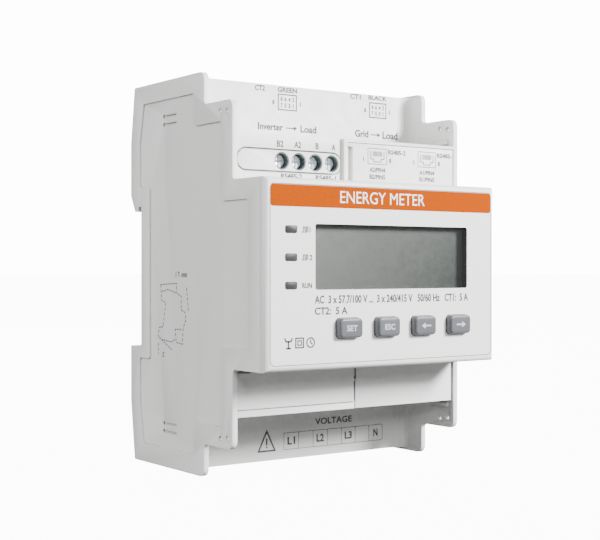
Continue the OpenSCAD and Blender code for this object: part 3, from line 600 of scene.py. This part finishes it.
def layInk(name, parts, side, depth, finish, body, thick=0.04):
    # a flat drawing laid on a face that looks to the front or to the left, standing a hair proud of it;
    # on the left face a drawing's right is the front of the meter
    flat, faces = together(parts)
    if side == "front":
        points = np.stack([flat[:, 0], np.full(len(flat), depth - thick), flat[:, 1]], -1)
    else:
        points = np.stack([np.full(len(flat), depth - thick), -flat[:, 0], flat[:, 1]], -1)
    mesh = bpy.data.meshes.new(name)
    mesh.from_pydata((points * mm).tolist(), [], faces)
    work = bmesh.new()
    work.from_mesh(mesh)
    outward = Vector((0, -1, 0)) if side == "front" else Vector((-1, 0, 0))
    work.normal_update()
    bmesh.ops.reverse_faces(work, faces=[face for face in work.faces if face.normal.dot(outward) < 0])
    bmesh.ops.triangulate(work, faces=[face for face in work.faces if len(face.verts) > 4])
    work.to_mesh(mesh)
    work.free()
    piece = bpy.data.objects.new(name, mesh)
    finishPiece(piece, finish, body)
    solid = piece.modifiers.new("film", "SOLIDIFY")
    solid.thickness = thick * 0.9 * mm
    solid.offset = -1


def arrow(left, right, middle, width, head):
    # a straight arrow from left to right, with its point at right
    point = 1 if right > left else -1
    return [ribbon([(left, middle), (right - point * head, middle)], width),
            (np.array([(right, middle), (right - point * head, middle + 0.62 * head),
                       (right - point * head, middle - 0.62 * head)]), [[0, 1, 2]])]


def arcPoints(middle, radius, first, last, count=24):
    angle = np.radians(np.linspace(first, last, count))
    return np.stack([middle[0] + radius * np.cos(angle), middle[1] + radius * np.sin(angle)], -1)


# the y of each face that is printed on, and for the side its x, in millimetres
planes = {"front": -60.0, "tier": -45.4, "comms": -45.75, "upper": -27.5, "lower": -24.0, "side": -35.55}
# a text is its letters, then left, right, low and high
label = {
    "band": (-34.6, 34.6, 15.8, 20.9), "bandCorner": 0.6, "bandFilm": 0.03,
    "title": ("ENERGY METER", -14.6, 11.9, 17.0, 19.9),
    "rim": (34.72, 21.02, 1.3), "rimWidth": 0.17, "shadeFilm": 0.012,
    "ratings": [("AC  3 x 57.7/100 V ...  3 x 240/415 V   50/60 Hz   CT1:  5 A", -22.1, 26.7, -6.9, -4.9),
                ("CT2:  5 A", -22.1, -12.4, -9.5, -7.7)],
    "running": ("RUN", -25.7, -22.9, -3.2, -1.9),
    "pulses": [(10.5, "1", -23.35), (4.0, "2", -22.8)],
    "pulseHeight": 1.2, "pulseWidth": 0.24,
}


def labelGround():
    band = patch(*label["band"], radius=label["bandCorner"])
    layInk("title_band", [band], "front", planes["front"], "bandInk", "casing",
           label["bandFilm"])
    # a fine dark film painting the shade of the gap between the label and its rim
    rim = ribbon(roundedRing(*label["rim"], 96), label["rimWidth"], True)
    layInk("label_gap_shade", [rim], "front", planes["front"], "gapShade", "casing",
           label["shadeFilm"])


def labelTitle():
    title = lettering(*label["title"], bold=0.0)
    layInk("title_letters", [title], "front", planes["front"] - label["bandFilm"], "whiteInk", "casing",
           label["bandFilm"])


def pulseMark(middle):
    # two square pulses in one line
    low, high = middle - label["pulseHeight"] / 2, middle + label["pulseHeight"] / 2
    path = [(-25.8, low), (-25.4, low), (-25.4, high), (-24.9, high), (-24.9, low), (-24.5, low),
            (-24.5, high), (-24.1, high), (-24.1, low)]
    return ribbon(path, label["pulseWidth"])


def smallSigns():
    # a branching line, a square in a square and a clock
    fork = [ribbon([(-29.6, -17.2), (-29.6, -15.4)], 0.42),
            ribbon([(-30.7, -14.7), (-30.3, -15.5), (-28.9, -15.5), (-28.5, -14.7)], 0.42),
            ribbon([(-30.3, -17.1), (-28.9, -17.1)], 0.4)]
    squares = [frameLine(-27.55, -25.35, -17.0, -14.8, 0.34), frameLine(-26.95, -25.95, -16.4, -15.4, 0.3)]
    clock = [ribbon(arcPoints((-23.3, -15.9), 1.1, 0, 345), 0.34, True),
             ribbon([(-23.3, -15.2), (-23.3, -15.9), (-22.8, -16.3)], 0.3)]
    return fork + squares + clock


def frontLegend():
    drawing = [lettering(*row) for row in label["ratings"]]
    for middle, digit, right in label["pulses"]:
        drawing += [pulseMark(middle), lettering(digit, -23.6, right, middle - 0.65, middle + 0.65)]
    drawing.append(lettering(*label["running"]))
    layInk("front_legend", drawing + smallSigns(), "front", planes["front"], "greyInk", "casing")


# painted shade lines: the shade of the step above the left flap's pull lip, and of the joint at its right end
flapShadeLines = {"lipHeight": 1.5, "pinLength": 1.05, "lipEnd": 0.5, "lipLine": (0.02, 0.24),
             "jointLine": (0.24, 0.04), "jointFoot": 0.3, "jointHead": 3.6}


def shadeFlapLines():
    low, high = nodeBox("left_terminal_flap")
    lipTop = low[2] + flapShadeLines["lipHeight"]
    nearLip, farLip = flapShadeLines["lipLine"]
    farJoint, nearJoint = flapShadeLines["jointLine"]
    lipLine = patch(low[0] + flapShadeLines["pinLength"], high[0] - flapShadeLines["lipEnd"], lipTop + nearLip,
                    lipTop + farLip)
    jointLine = patch(high[0] - farJoint, high[0] - nearJoint, lipTop + flapShadeLines["jointFoot"],
                      high[2] - flapShadeLines["jointHead"])
    flapFace = nodeBox("right_terminal_flap")[0][1]
    layInk("flap_shade_lines", [lipLine, jointLine], "front", flapFace, "gapShade",
           bodyOf("left_terminal_flap"), label["shadeFilm"])


labelGround()
shadeFlapLines()
labelTitle()
frontLegend()

keyLegend = {"words": {"set_key": "SET", "escape_key": "ESC"}, "ways": {"left_key": -1, "right_key": 1},
             "wordSize": (1.6, 0.72), "arrowReach": 1.55, "arrowWidth": 0.42, "arrowHead": 1.25,
             "film": 0.02}


def printKey(node, drawing):
    crown = keyCap["crown"][-1][3]
    layInk(keyBodies[node] + "_legend", drawing, "front", crown, "keyInk", keyBodies[node],
           keyLegend["film"])


for node, word in keyLegend["words"].items():
    middle, (halfWidth, halfHeight) = keyMiddle(node), keyLegend["wordSize"]
    printKey(node, [lettering(word, middle[0] - halfWidth, middle[0] + halfWidth,
                              middle[2] - halfHeight, middle[2] + halfHeight)])
for node, way in keyLegend["ways"].items():
    middle, reach = keyMiddle(node), keyLegend["arrowReach"] * way
    printKey(node, arrow(middle[0] - reach, middle[0] + reach, middle[2], keyLegend["arrowWidth"],
                         keyLegend["arrowHead"]))

tierTexts = [("B2", -22.9, -20.9, 31.1, 32.7), ("A2", -17.7, -15.6, 31.1, 32.7),
             ("B", -11.2, -10.2, 31.1, 32.7), ("A", -6.2, -5.0, 31.1, 32.7),
             ("RS485-2", -21.7, -15.3, 23.4, 24.7), ("RS485-1", -11.2, -4.85, 23.4, 24.7)]
layInk("tier_legend", [lettering(*row) for row in tierTexts], "front", planes["tier"], "greyInk", "casing")

jackSign = {"sockets": [(5.2, "RS485-2"), (22.1, "RS485-1")], "width": 6.2, "low": 28.3, "high": 32.3,
            "line": 0.2, "dash": 0.5, "gap": 0.14, "contacts": 8, "contactPitch": 0.4,
            "texts": [("A2/PIN4", 5.7, 10.9, 26.2, 27.4), ("B2/PIN5", 5.7, 10.9, 24.4, 25.6),
                      ("A1/PIN4", 22.6, 27.8, 26.2, 27.4), ("B1/PIN5", 22.6, 27.8, 24.4, 25.6)]}


def jackFront(left):
    # a plug socket: its dashed frame, the step of its latch and its contacts
    low, high, line = jackSign["low"], jackSign["high"], jackSign["line"]
    right = left + jackSign["width"]
    border = [(left, low), (right, low), (right, high), (left, high), (left, low)]
    step = [(0.9, 3.3), (0.9, 1.3), (1.9, 1.3), (1.9, 0.6), (4.3, 0.6), (4.3, 1.3), (5.3, 1.3), (5.3, 3.3)]
    latch = [(left + x, low + z) for x, z in step]
    parts = [dashes(border, line, jackSign["dash"], jackSign["gap"]), ribbon(latch, line)]
    for contact in range(jackSign["contacts"]):
        x = left + 1.7 + jackSign["contactPitch"] * contact
        parts.append(ribbon([(x, low + 2.0), (x, low + 3.3)], line))
    return parts


def commsLegend():
    drawing = []
    for left, name in jackSign["sockets"]:
        drawing += jackFront(left)
        drawing += [lettering("1", left - 1.6, left - 1.35, 28.8, 30.0),
                    lettering("8", left + 7.0, left + 7.7, 28.8, 30.0),
                    lettering(name, left + 6.7, left + 12.6, 31.0, 32.2)]
    drawing += [lettering(*row) for row in jackSign["texts"]]
    layInk("comms_legend", drawing, "front", planes["comms"], "greyInk", "casing")


commsLegend()

upperSigns = {
    "texts": [("CT2", -17.5, -14.4, 47.5, 48.9), ("GREEN", -10.4, -4.2, 47.6, 48.9),
              ("CT1", 13.6, 17.2, 47.7, 49.1), ("BLACK", 19.9, 26.4, 47.9, 49.2),
              ("Inverter", -16.6, -8.7, 37.4, 39.3), ("Load", -3.1, 2.1, 37.4, 39.3),
              ("Grid", 15.2, 19.9, 37.4, 39.4), ("Load", 24.9, 30.3, 37.4, 39.4)],
    "arrows": [(-7.8, -4.2), (20.7, 24.1)], "arrowHeight": 38.3, "arrowWidth": 0.3, "arrowHead": 1.0,
    "grids": [(-10.2, 43.0), (20.3, 43.1)], "gridSize": (5.8, 4.0), "line": 0.3,
    "pitch": (1.24, 1.65), "first": (1.05, 0.6), "digit": (0.34, 1.15), "thinDigit": 0.12,
}


def pinGrid(left, low):
    # a frame with two rows of four pin numbers, counted up from the right
    width, height = upperSigns["gridSize"]
    acrossPitch, upPitch = upperSigns["pitch"]
    firstX, firstZ = upperSigns["first"]
    half, tall = upperSigns["digit"]
    parts = [frameLine(left, left + width, low, low + height, upperSigns["line"]),
             lettering("8", left - 1.9, left - 1.2, low + 1.2, low + 2.4),
             lettering("1", left + 7.0, left + 7.25, low + 1.2, low + 2.4)]
    for number in range(1, 9):
        column, row = divmod(number - 1, 2)
        middle = left + firstX + acrossPitch * (3 - column)
        side = upperSigns["thinDigit"] if number == 1 else half
        foot = low + firstZ + upPitch * row
        parts.append(lettering(str(number), middle - side, middle + side, foot, foot + tall))
    return parts


def upperLegend():
    drawing = [lettering(*row) for row in upperSigns["texts"]]
    for left, right in upperSigns["arrows"]:
        drawing += arrow(left, right, upperSigns["arrowHeight"], upperSigns["arrowWidth"],
                         upperSigns["arrowHead"])
    for left, low in upperSigns["grids"]:
        drawing += pinGrid(left, low)
    layInk("upper_legend", drawing, "front", planes["upper"], "greyInk", "casing")


upperLegend()

terminalRow = {
    "heading": ("VOLTAGE", 4.3, 16.8, -40.9, -39.2), "left": -6.0, "right": 27.6, "cells": 7,
    "low": -46.8, "high": -42.4, "line": 0.16, "dash": 0.34, "gap": 0.16,
    "names": [("L1", 0, 1.25), ("L2", 2, 1.25), ("L3", 4, 1.25), ("N", 6, 0.75)], "nameZ": (-45.6, -43.5),
}


def warningSign():
    # a plain triangle with a stroke and a dot
    return [ribbon([(-14.1, -46.7), (-8.9, -46.7), (-11.5, -41.5)], 0.42, True),
            ribbon([(-11.5, -43.4), (-11.5, -45.2)], 0.4), patch(-11.72, -11.28, -45.95, -45.5, 0.2, 16)]


def lowerLegend():
    # a dashed row of cells, every second one with its terminal's name
    edges = np.linspace(terminalRow["left"], terminalRow["right"], terminalRow["cells"] + 1)
    low, high = terminalRow["low"], terminalRow["high"]
    lines = [[(edges[0], z), (edges[-1], z)] for z in (high, low)]
    lines += [[(x, high - 0.1), (x, low + 0.1)] for x in edges]
    drawing = [lettering(*terminalRow["heading"], bold=0.01)] + warningSign()
    drawing += [dashes(line, terminalRow["line"], terminalRow["dash"], terminalRow["gap"]) for line in lines]
    for name, cell, half in terminalRow["names"]:
        middle = (edges[cell] + edges[cell + 1]) / 2
        drawing.append(lettering(name, middle - half, middle + half, *terminalRow["nameZ"]))
    layInk("lower_legend", drawing, "front", planes["lower"], "greyInk", "casing")


lowerLegend()

# the mounting sign on the side: the case leaning off its rail, in short strokes, drawn as dark film that
# paints the shade of its moulded strokes
sideMark = {
    # y and z along each line
    "case": [(-10.3, -2.8), (-18.5, -2.4), (-18.7, -4.9), (-20.9, -5.7), (-20.9, -9.1), (-22.7, -9.7),
             (-23.3, -11.4), (-21.8, -14.0), (-21.5, -17.8), (-18.4, -17.5), (-17.8, -14.2), (-20.9, -14.1)],
    "back": [(-10.3, -2.8), (-10.7, -6.8), (-12.9, -7.5), (-11.6, -13.6), (-9.5, -14.1), (-8.8, -16.4),
             (-10.7, -17.1), (-15.8, -17.5), (-18.3, -16.6)],
    "details": [[(-11.0, -4.6), (-14.1, -4.0), (-18.5, -4.9)], [(-10.7, -17.1), (-16.2, -19.6)],
                [(-23.6, -3.4), (-24.6, -9.6)], [(-9.0, -18.0), (-9.0, -20.9)]],
    # letters, then the y of their front and back ends, low and high
    "notes": [("1", -18.4, -18.1, -0.9, 0.6), ("7", -20.1, -19.2, -0.9, 0.6), ("mm", -23.8, -21.0, -0.8, 0.2),
              ("2", -12.1, -11.2, -21.6, -20.3)],
    "stroke": 0.3, "dash": 0.85, "gap": 0.42, "relief": 0.05,
}


def mountingSign():
    lines = [sideMark["case"], sideMark["back"], *sideMark["details"]]
    drawing = [dashes([(-y, z) for y, z in line], sideMark["stroke"], sideMark["dash"], sideMark["gap"])
               for line in lines]
    # the notes' letters run from the front towards the back
    for text, front, back, low, high in sideMark["notes"]:
        drawing.append(lettering(text, -front, -back, low, high))
    layInk("side_mark", drawing, "left", planes["side"], "mouldMarkShade", "casing",
           sideMark["relief"])


mountingSign()

# camera, light and floor
print("camera and light")
viewer = {"lens": 74.38, "place": (-193.47, -295.0, 1.62), "azimuth": -35.42, "elevation": 0.11}
camera = bpy.data.objects.new("camera", bpy.data.cameras.new("camera"))
camera.data.lens = viewer["lens"]
camera.data.sensor_width = 36.0
camera.data.clip_start = 0.01
camera.location = Vector(viewer["place"]) * mm
turn, tilt = math.radians(viewer["azimuth"]), math.radians(viewer["elevation"])
ahead = Vector((-math.sin(turn) * math.cos(tilt), math.cos(turn) * math.cos(tilt), -math.sin(tilt)))
camera.rotation_euler = ahead.to_track_quat("-Z", "Y").to_euler()
bpy.context.scene.collection.objects.link(camera)
bpy.context.scene.camera = camera

studio = {"floorZ": -53.6, "floorReach": 8000, "ambient": 0.05, "backdrop": 14.0, "floorColour": 0.06,
          "floorShine": 0.86, "floorRough": 0.8}
lamps = {
    # name: place, target and size in millimetres, then watts
    "keyLight": ((400, -600, 320), (0, -30, 0), 200, 20.5),
    "sideLight": ((-700, 60, 300), (0, -30, 0), 500, 6.8),
    "frontFill": ((-170, -700, 260), (0, -30, 0), 200, 2.6),
    "rearLight": ((300, 700, 320), (0, 0, 0), 420, 7.0),
}
for name, (place, target, size, power) in lamps.items():
    lamp = bpy.data.lights.new(name, "AREA")
    lamp.size = size * mm
    lamp.energy = power
    holder = bpy.data.objects.new(name, lamp)
    holder.location = Vector(place) * mm
    holder.rotation_euler = (Vector(target) - Vector(place)).to_track_quat("-Z", "Y").to_euler()
    bpy.context.scene.collection.objects.link(holder)


def seenBrighter(tree, shines, seen):
    # strength for light and shadow rays, and another for what is seen directly
    rays = tree.nodes.new("ShaderNodeLightPath")
    strength = tree.nodes.new("ShaderNodeMapRange")
    strength.inputs["To Min"].default_value = shines
    strength.inputs["To Max"].default_value = seen
    tree.links.new(rays.outputs["Is Camera Ray"], strength.inputs["Value"])
    return strength.outputs["Result"]


world = bpy.data.worlds.new("studio")
world.use_nodes = True
background = world.node_tree.nodes["Background"]
background.inputs["Color"].default_value = (1, 1, 1, 1)
brightness = seenBrighter(world.node_tree, studio["ambient"], studio["backdrop"])
world.node_tree.links.new(brightness, background.inputs["Strength"])
bpy.context.scene.world = world

floorMesh = bpy.data.meshes.new("floor")
reach, floorHeight = studio["floorReach"] * mm, studio["floorZ"] * mm
floorMesh.from_pydata([(-reach, -reach, floorHeight), (reach, -reach, floorHeight),
                       (reach, reach, floorHeight), (-reach, reach, floorHeight)], [], [(0, 1, 2, 3)])
floor = bpy.data.objects.new("floor", floorMesh)
floorMaterial, floorTree, floorShader = newMaterial("floorPaint")
floorShader.inputs["Base Color"].default_value = (*[studio["floorColour"]] * 3, 1)
floorShader.inputs["Roughness"].default_value = studio["floorRough"]
floorShader.inputs["Emission Color"].default_value = (1, 1, 1, 1)
floorGlow = seenBrighter(floorTree, 0.0, studio["backdrop"] * studio["floorShine"])
floorTree.links.new(floorGlow, floorShader.inputs["Emission Strength"])
floorMesh.materials.append(floorMaterial)
bpy.context.scene.collection.objects.link(floor)
